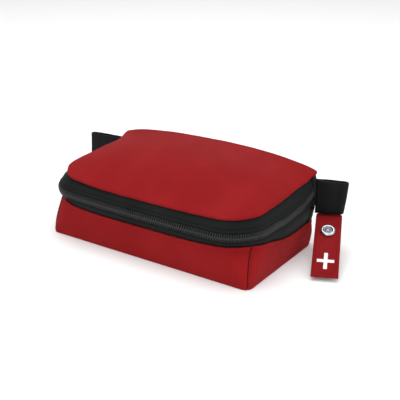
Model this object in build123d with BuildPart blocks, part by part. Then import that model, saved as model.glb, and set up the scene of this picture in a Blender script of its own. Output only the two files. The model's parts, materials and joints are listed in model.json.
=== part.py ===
"""Zip-up first aid pouch with end loops, a press-stud strap and its contents.

Millimetres, +Z up, +Y to the back. The origin is the centre of the base on the
surface that the pouch stands on.
"""
import os
from math import cos, radians, sin

from build123d import *

os.makedirs("parts", exist_ok=True)

# ---- driving dimensions -------------------------------------------------
LENGTH = 130.0           # pouch along X, at the base
DEPTH = 69.0             # pouch along Y
WALL = 1.5               # padded wall fabric with its lining
TAPE = 0.8               # zip tape
BASE_CORNER = 4.0        # corner radius of the base
BACK_CORNER = 3.0        # corner radius at the back, all the way up
FRONT_CORNER = 18.0      # corner radius at the front, round the zip
BULGE = 1.5              # how far the zip band stands out past the base
TUCK = 2.0               # how far the lid's rim is drawn in

ZIP_Z = 25.5             # height of the zip's parting line and of the lid's fold
CHAIN_GAP = 1.6          # room between the two coils for the slider's neck
CHAIN_HEIGHT = 1.0       # one coil, along Z
CHAIN_WIDTH = 2.2        # one coil, across the tape
LOWER_RIM_Z = 15.9       # tape's lower edge, at mid depth
LOWER_RIM_SLOPE = -0.076     # it drops towards the back
UPPER_RIM_Z = 36.6       # tape's upper edge, at mid depth
UPPER_RIM_SLOPE = 0.0986     # it rises towards the back
LID_RISE = 50.0          # crown of the lid
LID_BACK_RISE = 47.0     # crown of the lid's back edge
GAP = 0.3                # clearance between pieces that move apart

LOOP_WIDTH = 19.3        # webbing width, along Z
LOOP_BOTTOM = 19.0
LOOP_THICK = 1.2         # one layer of webbing
LOOP_INSIDE = 2.0        # room between its two layers
LOOP_ROOT = 2.5          # where the two layers are sewn together
LOOP_START = 1.3         # loops begin this far out from the zip tape's sides
RIGHT_TURN = 23.5        # right loop turned back from the X axis, degrees
RIGHT_LOOP = 16.0        # how far the right loop stands out
LEFT_LOOP = 26.0         # how far the left loop stands out
TAIL_LENGTH = 11.0       # webbing tail sewn flat on the back wall
TAIL_THICK = 0.8
TAIL_TOP = 23.0

STRAP_WIDTH = 14.0
LEAF = 0.8               # one leaf of the strap
LEAF_GAP = 1.2           # room between the leaves for the stud
STRAP_LEAN = 22.0        # strap's slope down to the surface it rests on
STRAP_TURN = RIGHT_TURN  # strap hangs square to the right loop
STRAP_HINGE = (75.4, 33.1, 18.3)
FOLD = 4.0               # folded top of the strap, before the leaves part
STUD_DOWN = 12.1         # stud's distance from the strap's hinge
STUD_RADIUS = 3.8
STUD_HEIGHT = 1.7
ANCHOR_HEIGHT = 8.0      # strap's end sewn in between the loop's layers
CROSS_DOWN = 33.3        # plus sign's distance from the strap's hinge
CROSS_ARM = 1.9          # width of an arm
CROSS_WIDE = 8.8
CROSS_LONG = 11.0
CROSS_THICK = 0.2

SLIDER_Y = 22.0          # slider at the closed end of the zip, on the left side
SLIDER_LENGTH = 12.0
SLIDER_HEIGHT = 8.4
PLATE = 1.0              # slider plate thickness
PULL_LENGTH = 20.0
PULL_WIDE = 5.2
PULL_THICK = 1.1

SCISSORS_PIVOT = (1.0, -7.0)
SCISSORS_Z = 24.3        # underside of the handles
BLADE = 1.2              # blade thickness
BLADE_GAP = 0.3
BLADE_REACH = 50.0       # pivot to tip
TANG_REACH = 17.0        # pivot to the hidden end of the blade
HANDLE_THICK = 4.6
FINGER_X = -39.0         # centre of a finger ring, from the pivot
FINGER_Y = 10.4
RIVET = 1.5              # rivet shank radius
RUNNING = 0.05           # radial clearance of the rivet

# Height and growth of the pouch's outline from the base up to the lid's rim:
# height, how far it stands out, front corner radius.
STATIONS = [
    (0.0, 0.0, BASE_CORNER),
    (14.0, 0.6, FRONT_CORNER - 2),
    (21.0, BULGE, FRONT_CORNER),
    (30.0, BULGE, FRONT_CORNER),
    (37.0, -TUCK, FRONT_CORNER - 1),
    (43.0, -TUCK - 0.5, FRONT_CORNER - 1),
]
TOP_Z = STATIONS[-1][0]
BACK_Y = DEPTH / 2
RED = Color(0.55, 0.10, 0.11)
BLACK = Color(0.06, 0.06, 0.06)
METAL = Color(0.75, 0.76, 0.78)
WHITE = Color(0.92, 0.92, 0.92)
GREY = Color(0.62, 0.66, 0.68)
BLUE = Color(0.10, 0.20, 0.55)


def outline(grow, front_radius, inset=0.0):
    """The pouch's outline in the current sketch: flat back, rounder front corners."""
    wide = LENGTH + 2 * grow - 2 * inset
    deep = DEPTH + grow - 2 * inset
    with Locations((0, -grow / 2)):
        Rectangle(wide, deep)
    back = vertices().sort_by(Axis.Y)[-2:]
    fillet(back, max(BACK_CORNER - inset, 0.4))
    front = vertices().sort_by(Axis.Y)[:2]
    fillet(front, max(front_radius - inset, 0.4))


def skin(thickness):
    """The pouch's whole side wall in the current part, from the base to the lid's rim."""
    for inset, mode in ((0.0, Mode.ADD), (thickness, Mode.SUBTRACT)):
        for low, high in zip(STATIONS, STATIONS[1:]):
            with BuildSketch(Plane.XY.offset(low[0])) as low_face:
                outline(low[1], low[2], inset)
            with BuildSketch(Plane.XY.offset(high[0])) as high_face:
                outline(high[1], high[2], inset)
            loft(sections=[low_face.sketch, high_face.sketch], ruled=True, mode=mode)


def wedge_points(side):
    """The ground that one wall stands on: a triangle that meets the next at the corner seams."""
    x = LENGTH / 2 + 8
    y = DEPTH / 2 + 8
    apex = x - y
    return {
        "front": [(-x, -y), (x, -y), (0, apex)],
        "right": [(x, -y), (x, y), (apex, 0)],
        "back": [(x, y), (-x, y), (0, -apex)],
        "left": [(-x, y), (-x, -y), (-apex, 0)],
    }[side]


def keep_side(side):
    """Keep the stretch of wall between two corner seams: front, back, left or right."""
    with BuildSketch(Plane.XY) as wedge:
        Polygon(*wedge_points(side), align=None)
    extrude(wedge.sketch, amount=TOP_Z + 10, mode=Mode.INTERSECT)


def drop_back():
    """Take away the back wall, between the two back corner seams."""
    with BuildSketch(Plane.XY) as wedge:
        Polygon(*wedge_points("back"), align=None)
    extrude(wedge.sketch, amount=TOP_Z + 10, mode=Mode.SUBTRACT)


def rim(height, slope):
    """A plane that tilts along Y, for an edge of the zip tape."""
    return Plane(origin=(0, 0, height), x_dir=(1, 0, 0), z_dir=(0, -slope, 1))


def level(height):
    """A level plane."""
    return Plane.XY.offset(height)


def save(piece, name, colour):
    """Label a finished piece and write its STEP file."""
    piece.part.label = name
    piece.part.color = colour
    export_step(piece.part, f"parts/{name}.step")


LOWER_RIM = rim(LOWER_RIM_Z, LOWER_RIM_SLOPE)
UPPER_RIM = rim(UPPER_RIM_Z, UPPER_RIM_SLOPE)
CHAIN_LOW = ZIP_Z - CHAIN_GAP / 2 - CHAIN_HEIGHT
CHAIN_HIGH = ZIP_Z + CHAIN_GAP / 2 + CHAIN_HEIGHT

# ---- pouch body ---------------------------------------------------------
with BuildPart() as bottom_panel:
    with BuildSketch(Plane.XY):
        outline(0.0, BASE_CORNER)
    extrude(amount=WALL)
save(bottom_panel, "bottom_panel", RED)

for side in ("front", "left", "right"):
    with BuildPart() as wall_panel:
        skin(WALL)
        keep_side(side)
        split(bisect_by=LOWER_RIM, keep=Keep.BOTTOM)
        split(bisect_by=level(WALL), keep=Keep.TOP)
    save(wall_panel, f"{side}_panel", RED)

with BuildPart() as back_panel_lower:
    skin(WALL)
    keep_side("back")
    split(bisect_by=level(WALL), keep=Keep.TOP)
    split(bisect_by=level(ZIP_Z - GAP), keep=Keep.BOTTOM)
save(back_panel_lower, "back_panel_lower", RED)

with BuildPart() as lower_zip_tape:
    skin(TAPE)
    drop_back()
    split(bisect_by=LOWER_RIM, keep=Keep.TOP)
    split(bisect_by=level(CHAIN_LOW), keep=Keep.BOTTOM)
save(lower_zip_tape, "lower_zip_tape", BLACK)


def coil(bottom, name):
    """One half of the zip's chain: a band that rides on the middle of the tape's edge."""
    outer = BULGE + (CHAIN_WIDTH - TAPE) / 2
    with BuildPart() as chain:
        with BuildSketch(level(bottom)):
            outline(outer, FRONT_CORNER)
        extrude(amount=CHAIN_HEIGHT)
        with BuildSketch(level(bottom)):
            outline(outer, FRONT_CORNER, CHAIN_WIDTH)
        extrude(amount=CHAIN_HEIGHT, mode=Mode.SUBTRACT)
        drop_back()
    save(chain, name, BLACK)


coil(CHAIN_LOW, "lower_zip_coil")

# ---- lid ----------------------------------------------------------------
with BuildPart() as upper_zip_tape:
    skin(TAPE)
    drop_back()
    split(bisect_by=level(CHAIN_HIGH), keep=Keep.TOP)
    split(bisect_by=UPPER_RIM, keep=Keep.BOTTOM)
save(upper_zip_tape, "upper_zip_tape", BLACK)

coil(CHAIN_HIGH - CHAIN_HEIGHT, "upper_zip_coil")

LID_HALF = LENGTH / 2 - TUCK
LID_FRONT = -DEPTH / 2 + TUCK
LID_CUT = ZIP_Z + 3      # the lid's sections start here and are trimmed to the rim


# The lid's cross-section from one side to the other: share of its half width, share of its rise.
ARCH = [(1, 0), (0.88, 0.5), (0.55, 0.88), (0, 1), (-0.55, 0.88), (-0.88, 0.5), (-1, 0)]


def lid_half_width(y):
    """Half the lid's width at a depth y, following its rounded front corners."""
    corner = FRONT_CORNER - 1
    past = LID_FRONT + corner - y
    if past <= 0:
        return LID_HALF
    return LID_HALF - corner + (corner ** 2 - past ** 2) ** 0.5


def lid_crown(y):
    """The lid's height along its middle: steep at the front, nearly level behind."""
    front_rise = UPPER_RIM_Z + UPPER_RIM_SLOPE * LID_FRONT + 1.6
    along = (y - LID_FRONT) / (BACK_Y - LID_FRONT)
    bow = sin(radians(180) * min(along, 0.62) / 1.24)
    back_drop = (LID_RISE - LID_BACK_RISE) * max(0.0, (along - 0.62) / 0.38) ** 1.5
    return front_rise + (LID_RISE - front_rise) * bow - back_drop


def lid_dome(inset):
    """The lid's dome as closed sections along Y, in the current part."""
    sections = []
    for along in (0.0, 0.05, 0.14, 0.3, 0.55, 0.8, 1.0):
        y = LID_FRONT + inset * 1.2 + (BACK_Y - LID_FRONT - 2.2 * inset) * along
        half = lid_half_width(y - 0.2 * inset) - inset
        edge = UPPER_RIM_Z + UPPER_RIM_SLOPE * y + 1.2 - 0.8 * inset
        crown = lid_crown(y) - inset
        with BuildSketch(Plane.XZ.offset(-y)) as section:
            with BuildLine():
                Line((-half, LID_CUT - inset), (half, LID_CUT - inset))
                Line((half, LID_CUT - inset), (half, edge))
                Spline([(half * x, edge + rise * (crown - edge)) for x, rise in ARCH])
                Line((-half, edge), (-half, LID_CUT - inset))
            make_face()
        sections.append(section.sketch)
    return sections


with BuildPart() as lid_panel:
    loft(sections=lid_dome(0.0), ruled=True)
    loft(sections=lid_dome(WALL), ruled=True, mode=Mode.SUBTRACT)
    split(bisect_by=UPPER_RIM, keep=Keep.TOP)
save(lid_panel, "lid_panel", RED)

with BuildPart() as back_panel_upper:
    skin(WALL)
    keep_side("back")
    split(bisect_by=level(ZIP_Z + GAP), keep=Keep.TOP)
    split(bisect_by=UPPER_RIM, keep=Keep.BOTTOM)
save(back_panel_upper, "back_panel_upper", RED)

# ---- zip stops ----------------------------------------------------------
SIDE_X = LENGTH / 2 + BULGE          # outer face of the zip tape on either side
STOP_Y = 30.0
STOP = (1.0, 2.0, 1.2)


def zip_stops(z, name):
    """A small clamp on the tape at both ends of the zip."""
    with BuildPart() as stops:
        for end in (-1, 1):
            with Locations((end * (SIDE_X + STOP[0] / 2), STOP_Y, z)):
                Box(*STOP)
        chamfer(edges().filter_by(Axis.Y), 0.2)
    save(stops, name, BLACK)


zip_stops(CHAIN_LOW - 0.8, "zip_stops_lower")
zip_stops(CHAIN_HIGH + 0.8, "zip_stops_upper")

# ---- zip slider and its pull --------------------------------------------
SLIDER_X = -(SIDE_X - TAPE / 2)      # middle of the tape on the left side
SLIDER_ROOM = CHAIN_WIDTH / 2 + 0.4  # from there to either plate
OUTER_FACE = SLIDER_X - SLIDER_ROOM - PLATE
BRIDGE_HEIGHT = 2.3
BRIDGE_BAR = 0.8
BRIDGE_SPAN = 6.6
BRIDGE_WIDE = 2.2
PULL_X = OUTER_FACE - 0.75
PULL_BAR = 0.45

with BuildPart() as slider_body:
    for face in (SLIDER_X - SLIDER_ROOM, SLIDER_X + SLIDER_ROOM + PLATE):
        outward = Plane(origin=(face, SLIDER_Y, ZIP_Z), x_dir=(0, 1, 0), z_dir=(-1, 0, 0))
        with BuildSketch(outward) as plate:
            Rectangle(SLIDER_LENGTH, SLIDER_HEIGHT)
            fillet(plate.vertices().sort_by(Axis.Y)[:2], 2.6)
            fillet(plate.vertices().sort_by(Axis.Y)[-2:], 1.2)
        extrude(amount=PLATE)
    with Locations((SLIDER_X, SLIDER_Y + SLIDER_LENGTH / 2 - 1.0, ZIP_Z)):
        Box(2 * SLIDER_ROOM, 2.0, CHAIN_GAP - 0.8)
save(slider_body, "slider_body", METAL)

with BuildPart() as slider_crown:
    bridge_side = Plane(origin=(OUTER_FACE, SLIDER_Y, ZIP_Z - BRIDGE_WIDE / 2), x_dir=(0, 1, 0))
    with BuildSketch(bridge_side) as arch:
        with Locations((0, BRIDGE_HEIGHT / 2)):
            Rectangle(BRIDGE_SPAN, BRIDGE_HEIGHT)
        fillet(arch.vertices().sort_by(Axis.X)[:2], 0.9)
        with Locations((0, (BRIDGE_HEIGHT - BRIDGE_BAR) / 2)):
            Rectangle(BRIDGE_SPAN - 2.0, BRIDGE_HEIGHT - BRIDGE_BAR, mode=Mode.SUBTRACT)
    extrude(amount=BRIDGE_WIDE)
save(slider_crown, "slider_crown", METAL)

with BuildPart() as pull_tab:
    tab_face = (PULL_X + PULL_THICK / 2, SLIDER_Y, ZIP_Z)
    with BuildSketch(Plane(origin=tab_face, x_dir=(0, -1, 0), z_dir=(-1, 0, 0))) as tab:
        with Locations((PULL_LENGTH / 2, 0)):
            Rectangle(PULL_LENGTH, PULL_WIDE)
        fillet(tab.vertices().sort_by(Axis.Y)[:2], 1.8)
        with Locations((3.4, 0)):
            Rectangle(8.2, BRIDGE_WIDE + 1.0, mode=Mode.SUBTRACT)
        with Locations((PULL_LENGTH - 3.6, 0)):
            Circle(1.0, mode=Mode.SUBTRACT)
    extrude(amount=PULL_THICK)
    with Locations((PULL_X, SLIDER_Y, ZIP_Z)):
        Cylinder(PULL_BAR, PULL_WIDE)
save(pull_tab, "pull_tab", METAL)

# ---- end loops ----------------------------------------------------------
LOOP_Y = BACK_Y - 0.5
LOOP_DEEP = LOOP_INSIDE + 2 * LOOP_THICK


def loop_plane(side, turn):
    """A level plane at the loop's lower edge, whose x axis runs out along the loop."""
    return Plane(
        origin=(side * (SIDE_X + LOOP_START), LOOP_Y, LOOP_BOTTOM),
        x_dir=(side * cos(radians(turn)), sin(radians(turn)), 0),
        z_dir=(0, 0, 1),
    )


def end_loop(side, reach, turn, name):
    """Webbing folded double and sewn into a back corner, with its tail on the back wall."""
    start = loop_plane(side, turn)
    with BuildPart() as loop:
        with BuildSketch(start) as folded:
            with Locations((reach / 2, 0)):
                Rectangle(reach, LOOP_DEEP)
            far = [v for v in folded.vertices() if abs(v.X - start.origin.X) > reach / 2]
            fillet(far, LOOP_DEEP / 2 - 0.1)
        extrude(amount=LOOP_WIDTH)
        with BuildSketch(start) as hollow:
            with Locations(((LOOP_ROOT + reach - LOOP_THICK) / 2, 0)):
                SlotOverall(reach - LOOP_THICK - LOOP_ROOT, LOOP_INSIDE)
        extrude(amount=LOOP_WIDTH, mode=Mode.SUBTRACT)
        tail_x = side * (SIDE_X + LOOP_START + 1.0 - TAIL_LENGTH / 2)
        with Locations((tail_x, BACK_Y + TAIL_THICK / 2, (LOOP_BOTTOM + TAIL_TOP) / 2)):
            Box(TAIL_LENGTH, TAIL_THICK, TAIL_TOP - LOOP_BOTTOM)
    save(loop, name, BLACK)


end_loop(1, RIGHT_LOOP, RIGHT_TURN, "right_end_loop")
end_loop(-1, LEFT_LOOP, 0.0, "left_end_loop")

# ---- strap with its press stud ------------------------------------------
HALF_STRAP = LEAF + LEAF_GAP / 2
LEAN_SIN = sin(radians(STRAP_LEAN))
LEAN_COS = cos(radians(STRAP_LEAN))
TURN_SIN = sin(radians(STRAP_TURN))
TURN_COS = cos(radians(STRAP_TURN))
STRAP_UP = Vector(-LEAN_COS * TURN_SIN, LEAN_COS * TURN_COS, LEAN_SIN)
STRAP_OUT = Vector(LEAN_SIN * TURN_SIN, -LEAN_SIN * TURN_COS, LEAN_COS)
STRAP_LENGTH = (STRAP_HINGE[2] - HALF_STRAP * LEAN_COS - 0.15) / LEAN_SIN


def strap_plane(height, down=0.0):
    """A plane along the strap: height above its middle, down from its hinge."""
    origin = Vector(*STRAP_HINGE) + STRAP_OUT * height - STRAP_UP * down
    return Plane(origin=origin, x_dir=(TURN_COS, TURN_SIN, 0), z_dir=STRAP_OUT)


with BuildPart() as strap_anchor:
    with BuildSketch(loop_plane(1, RIGHT_TURN)):
        with Locations(((LOOP_ROOT + RIGHT_LOOP - LOOP_THICK) / 2, 0)):
            Rectangle(STRAP_WIDTH - 4.5, LOOP_INSIDE - 0.8)
    extrude(amount=ANCHOR_HEIGHT)
save(strap_anchor, "strap_anchor", RED)

with BuildPart() as strap_rear_leaf:
    with BuildSketch(strap_plane(-HALF_STRAP)):
        with Locations((0, -STRAP_LENGTH / 2)):
            Rectangle(STRAP_WIDTH, STRAP_LENGTH)
    extrude(amount=LEAF)
    with BuildSketch(strap_plane(-HALF_STRAP)):
        with Locations((0, -FOLD / 2)):
            Rectangle(STRAP_WIDTH, FOLD)
    extrude(amount=2 * HALF_STRAP)
    hinge_end = Plane(origin=Vector(*STRAP_HINGE), x_dir=STRAP_UP, z_dir=(TURN_COS, TURN_SIN, 0))
    with BuildSketch(hinge_end):
        Circle(HALF_STRAP)
    extrude(amount=STRAP_WIDTH / 2, both=True)
save(strap_rear_leaf, "strap_rear_leaf", RED)

with BuildPart() as strap_front_leaf:
    with BuildSketch(strap_plane(HALF_STRAP - LEAF)):
        with Locations((0, -(FOLD + GAP + STRAP_LENGTH) / 2)):
            Rectangle(STRAP_WIDTH, STRAP_LENGTH - FOLD - GAP)
    extrude(amount=LEAF)
save(strap_front_leaf, "strap_front_leaf", RED)

with BuildPart() as strap_cross:
    with BuildSketch(strap_plane(HALF_STRAP, CROSS_DOWN)):
        Rectangle(CROSS_WIDE, CROSS_ARM)
        Rectangle(CROSS_ARM, CROSS_LONG)
    extrude(amount=CROSS_THICK)
save(strap_cross, "strap_cross", WHITE)

with BuildPart() as stud_cap:
    with BuildSketch(strap_plane(HALF_STRAP, STUD_DOWN)):
        Circle(STUD_RADIUS)
    extrude(amount=STUD_HEIGHT)
    rim = stud_cap.faces().sort_by(Axis(Vector(*STRAP_HINGE), STRAP_OUT))[-1]
    fillet(rim.edges(), 0.5)
    with BuildSketch(strap_plane(HALF_STRAP + 1.0, STUD_DOWN)):
        Circle(STUD_RADIUS - 1.2)
    extrude(amount=1.0, mode=Mode.SUBTRACT)
    with BuildSketch(strap_plane(HALF_STRAP + 1.0, STUD_DOWN)):
        Circle(1.1)
        with PolarLocations(1.1, 5):
            Circle(0.55)
    extrude(amount=0.4)
save(stud_cap, "stud_cap", METAL)

with BuildPart() as stud_socket:
    with BuildSketch(strap_plane(0.0, STUD_DOWN)):
        Circle(STUD_RADIUS - 0.4)
        Circle(2.2, mode=Mode.SUBTRACT)
    extrude(amount=LEAF_GAP / 2)
save(stud_socket, "stud_socket", METAL)

with BuildPart() as stud_post:
    with BuildSketch(strap_plane(-LEAF_GAP / 2, STUD_DOWN)):
        Circle(STUD_RADIUS - 0.6)
    extrude(amount=0.3)
    with BuildSketch(strap_plane(-LEAF_GAP / 2 + 0.3, STUD_DOWN)):
        Circle(1.7)
    extrude(amount=0.6)
save(stud_post, "stud_post", METAL)

with BuildPart() as stud_ring:
    with BuildSketch(strap_plane(-HALF_STRAP - 0.6, STUD_DOWN)):
        Circle(STUD_RADIUS - 0.3)
        Circle(1.5, mode=Mode.SUBTRACT)
    extrude(amount=0.6)
save(stud_ring, "stud_ring", METAL)

# ---- scissors -----------------------------------------------------------
BLADE_MID = SCISSORS_Z + HANDLE_THICK / 2


def scissors_plane(height):
    """A level plane whose origin is on the scissors' pivot."""
    return Plane(origin=(*SCISSORS_PIVOT, height))


def blade_shape(side):
    """A blade seen from above, with its tang towards the handle on one side."""
    Polygon(
        (BLADE_REACH, -side * 0.4),
        (BLADE_REACH - 8, -side * 3.0),
        (4, -side * 4.4),
        (-6, -side * 2.0),
        (-TANG_REACH, side * 2.6),
        (-TANG_REACH, side * 7.0),
        (-8, side * 4.6),
        (2, side * 3.8),
        align=None,
    )


def scissor_blade(side, bottom, name):
    """One steel blade with its rivet hole."""
    with BuildPart() as blade:
        with BuildSketch(scissors_plane(bottom)):
            blade_shape(side)
            Circle(RIVET + RUNNING, mode=Mode.SUBTRACT)
        extrude(amount=BLADE)
    save(blade, name, METAL)


def scissor_handle(side, blade_bottom, name):
    """One plastic finger ring with an arm that holds the blade's tang."""
    with BuildPart() as handle:
        with BuildSketch(scissors_plane(SCISSORS_Z)):
            with Locations((FINGER_X, side * FINGER_Y)):
                Ellipse(13.2, 9.6)
            Polygon(
                (FINGER_X + 4, side * 1.2),
                (-12, side * 1.2),
                (-10, side * 7.4),
                (FINGER_X + 6, side * 17.4),
                align=None,
            )
            with Locations((FINGER_X, side * FINGER_Y)):
                Ellipse(9.6, 6.2, mode=Mode.SUBTRACT)
        extrude(amount=HANDLE_THICK)
        with BuildSketch(scissors_plane(blade_bottom)):
            blade_shape(side)
        extrude(amount=BLADE, mode=Mode.SUBTRACT)
    save(handle, name, BLUE)


UPPER_BLADE = BLADE_MID + BLADE_GAP / 2
LOWER_BLADE = BLADE_MID - BLADE_GAP / 2 - BLADE
scissor_blade(-1, UPPER_BLADE, "fixed_blade")
scissor_handle(-1, UPPER_BLADE, "fixed_handle")
scissor_blade(1, LOWER_BLADE, "moving_blade")
scissor_handle(1, LOWER_BLADE, "moving_handle")

with BuildPart() as scissors_rivet:
    with BuildSketch(scissors_plane(LOWER_BLADE - RUNNING)):
        Circle(RIVET)
    extrude(amount=2 * BLADE + BLADE_GAP + 2 * RUNNING)
    with BuildSketch(scissors_plane(LOWER_BLADE - RUNNING - 0.6)):
        Circle(RIVET + 0.9)
    extrude(amount=0.6)
    with BuildSketch(scissors_plane(UPPER_BLADE + BLADE + RUNNING)):
        Circle(RIVET + 0.9)
    extrude(amount=0.6)
save(scissors_rivet, "scissors_rivet", METAL)

# ---- contents -----------------------------------------------------------
# name: low corner, high corner, colour
PACKETS = {
    "grey_dressing_packet": ((-61, -28, 2.0), (-1.5, 28, 8.6), GREY),
    "large_dressing_packet": ((1.5, -28, 2.0), (61, 28, 8.6), WHITE),
    "green_band_packet": ((-60, -26, 9.1), (-6, 26, 15.1), WHITE),
    "bandage_packet_front": ((-2, -27.5, 9.1), (59, -1.5, 22.6), WHITE),
    "bandage_packet_back": ((-2, 1.5, 9.1), (59, 27.5, 22.6), WHITE),
    "wipe_packet_front": ((-56, -29, 15.6), (-12, -1.5, 18.4), WHITE),
    "wipe_packet_back": ((-56, 1.5, 15.6), (-12, 29, 18.4), WHITE),
}
for name, (low, high, colour) in PACKETS.items():
    size = [b - a for a, b in zip(low, high)]
    middle = [(a + b) / 2 for a, b in zip(low, high)]
    with BuildPart() as packet:
        with Locations(tuple(middle)):
            Box(*size)
        fillet(packet.edges().filter_by(Axis.Z), 2.0)
        chamfer(packet.faces().filter_by(Axis.Z).edges(), 1.0)
    save(packet, name, colour)
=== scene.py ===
"""The look of the first aid pouch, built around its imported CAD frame.

Lengths in the formulas are millimetres in the frame's axes; make_mesh turns them to metres.
"""
import json
from math import asin, atan2, cos, exp, pi, radians, sin, sqrt

import bmesh
import bpy
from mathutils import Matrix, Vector, noise


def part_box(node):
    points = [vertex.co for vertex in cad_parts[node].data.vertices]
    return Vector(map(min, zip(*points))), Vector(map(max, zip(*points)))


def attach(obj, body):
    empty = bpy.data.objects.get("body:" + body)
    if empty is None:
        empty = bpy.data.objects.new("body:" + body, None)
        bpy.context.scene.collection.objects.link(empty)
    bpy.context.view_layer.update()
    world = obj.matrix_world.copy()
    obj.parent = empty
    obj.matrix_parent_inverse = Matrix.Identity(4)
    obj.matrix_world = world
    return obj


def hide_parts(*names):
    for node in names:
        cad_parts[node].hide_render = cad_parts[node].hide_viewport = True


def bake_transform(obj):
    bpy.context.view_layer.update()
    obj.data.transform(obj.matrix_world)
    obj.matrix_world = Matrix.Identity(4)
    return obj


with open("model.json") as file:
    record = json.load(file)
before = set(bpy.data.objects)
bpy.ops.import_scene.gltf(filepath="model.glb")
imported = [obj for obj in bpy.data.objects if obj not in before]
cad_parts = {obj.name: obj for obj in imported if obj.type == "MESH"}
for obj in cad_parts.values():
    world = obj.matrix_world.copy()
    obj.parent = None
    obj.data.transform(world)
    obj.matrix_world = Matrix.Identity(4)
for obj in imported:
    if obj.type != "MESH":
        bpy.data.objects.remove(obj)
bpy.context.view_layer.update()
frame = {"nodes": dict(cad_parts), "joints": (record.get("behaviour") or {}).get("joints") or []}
MM = 0.001


def box_mm(node):
    """Lowest and highest corner of a CAD node, in millimetres."""
    low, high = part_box(node)
    return low / MM, high / MM


def middle_mm(node):
    """Middle of a CAD node's box, in millimetres."""
    return sum(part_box(node), Vector()) / 2 / MM


JOINTS = {joint["name"]: joint for joint in frame["joints"]}

# ---- sizes, read from the frame ----
BASE_LOW, BASE_HIGH = box_mm("bottom_panel")
HALF = BASE_HIGH.x                       # half the pouch's length at the base
FRONT_Y = BASE_LOW.y
BACK_Y = BASE_HIGH.y
BULGE = box_mm("lower_zip_tape")[1].x - HALF      # how far the zip band stands out
TUCK = HALF - box_mm("lid_panel")[1].x            # how far the lid's rim is drawn in
LID_TOP = box_mm("lid_panel")[1].z
HINGE = Vector(JOINTS["strap_swing"]["pos_m"]) / MM

# ---- sizes chosen for the cloth ----
BASE_CORNER = 4.0         # corner radius at the base
CORNER = 20.0             # front corner radius at the zip band's lower edge
CHAIN_CORNER = 18.0       # and at the zip's teeth
LID_CORNER = 17.0         # and at the lid's rim
LEFT_SHARPER = 0.8        # the left front corner's radius, as a share of the right one's
FLARE = 2.8               # how far the lid's rim widens again towards the back
FLARE_FROM = 5.0          # depth at which it starts to widen
WALL = 1.2                # fabric with its lining
TAPE = 0.7                # thickness of a zip tape
TOOTH_PITCH = 1.3
CROWN = LID_TOP - 0.2     # lid's highest point
CROWN_AT = 0.62           # where it is, as a share of the lid's depth
BACK_CROWN = LID_TOP - 0.9            # height of the lid's middle at the back seam
FOLD_LOW, FOLD_HIGH = 22.2, 28.8      # the back wall folds between these heights

SIDE_RUN = BACK_Y - FRONT_Y - CORNER
ARC_RUN = pi / 2 * CORNER
FRONT_RUN = 2 * (HALF - CORNER)
ROUND = 2 * SIDE_RUN + 2 * ARC_RUN + FRONT_RUN     # the way round sides and front
SEAM_LEFT = SIDE_RUN + ARC_RUN / 2
SEAM_RIGHT = ROUND - SEAM_LEFT
SEAM_LEAN = 3.4           # the right front seam leans along the wall by this much

# Heights by the distance from the middle of the front, measured along the band.
LOWER_EDGE = [(0, 18.0), (30, 18.2), (61, 20.0), (77, 18.4), (92, 14.6), (106, 13.3), (126, 14.0)]
UPPER_EDGE = [(0, 32.8), (35, 33.1), (61, 34.8), (78, 35.5), (93, 36.0), (108, 37.8), (117, 39.5),
              (126, 42.2)]
# Height of the zip's parting line by the distance round from the back left corner.
PARTING = [(0, 25.5), (50, 25.5), (64, 27.5), (78, 26.2), (94, 25.3), (125, 24.7), (165, 24.9),
           (187, 26.3), (204, 26.7), (220, 26.1), (234, 27.2), (244, 30.0), (252, 32.0)]

# Rise of both edges at the left front corner, by the distance round.
LEFT_LOWER = [(0, 0.0), (26, 2.2), (46, 0.3), (61, 2.8), (74, 0.8), (88, 0.0)]
LEFT_FLATTER = [(47, 0.0), (61, 0.7), (76, 0.0)]      # how far the band is drawn in there
LEFT_UPPER = [(0, 0.0), (34, 1.6), (50, 3.0), (62, 2.6), (76, 0.9), (92, 0.0)]
# How far the lid's left rim is drawn in, by depth.
LEFT_INSET = [(-34, 1.2), (-26, 2.0), (-12, 1.4), (8, 0.0)]


def through(points, x):
    """A smooth curve through given points, level at both ends."""
    if x <= points[0][0]:
        return points[0][1]
    if x >= points[-1][0]:
        return points[-1][1]
    k = next(i for i in range(len(points) - 1) if points[i + 1][0] >= x)
    (x0, y0), (x1, y1) = points[k], points[k + 1]

    def slope(i):
        if i == 0 or i == len(points) - 1:
            return 0.0
        return (points[i + 1][1] - points[i - 1][1]) / (points[i + 1][0] - points[i - 1][0])

    t = (x - x0) / (x1 - x0)
    width = x1 - x0
    return ((2 * t ** 3 - 3 * t ** 2 + 1) * y0 + (t ** 3 - 2 * t ** 2 + t) * width * slope(k)
            + (3 * t ** 2 - 2 * t ** 3) * y1 + (t ** 3 - t ** 2) * width * slope(k + 1))


def at(s, grow=0.0, radius=CORNER):
    """Point and outward direction at a distance s round the sides and front, on an outline
    that stands out by grow and has that front corner radius."""
    half, front = HALF + grow, FRONT_Y - grow
    left = radius * LEFT_SHARPER
    if s < SIDE_RUN:
        t = s / SIDE_RUN
        return Vector((-half, BACK_Y + (front + left - BACK_Y) * t)), Vector((-1, 0))
    s -= SIDE_RUN
    if s < ARC_RUN:
        turn = pi + pi / 2 * s / ARC_RUN
        out = Vector((cos(turn), sin(turn)))
        return Vector((-half + left, front + left)) + out * left, out
    s -= ARC_RUN
    if s < FRONT_RUN:
        t = s / FRONT_RUN
        return Vector((-half + left + (2 * half - left - radius) * t, front)), Vector((0, -1))
    s -= FRONT_RUN
    if s < ARC_RUN:
        turn = 1.5 * pi + pi / 2 * s / ARC_RUN
        out = Vector((cos(turn), sin(turn)))
        return Vector((half - radius, front + radius)) + out * radius, out
    t = min((s - ARC_RUN) / SIDE_RUN, 1.0)
    return Vector((half, front + radius + (BACK_Y - front - radius) * t)), Vector((1, 0))


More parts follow.
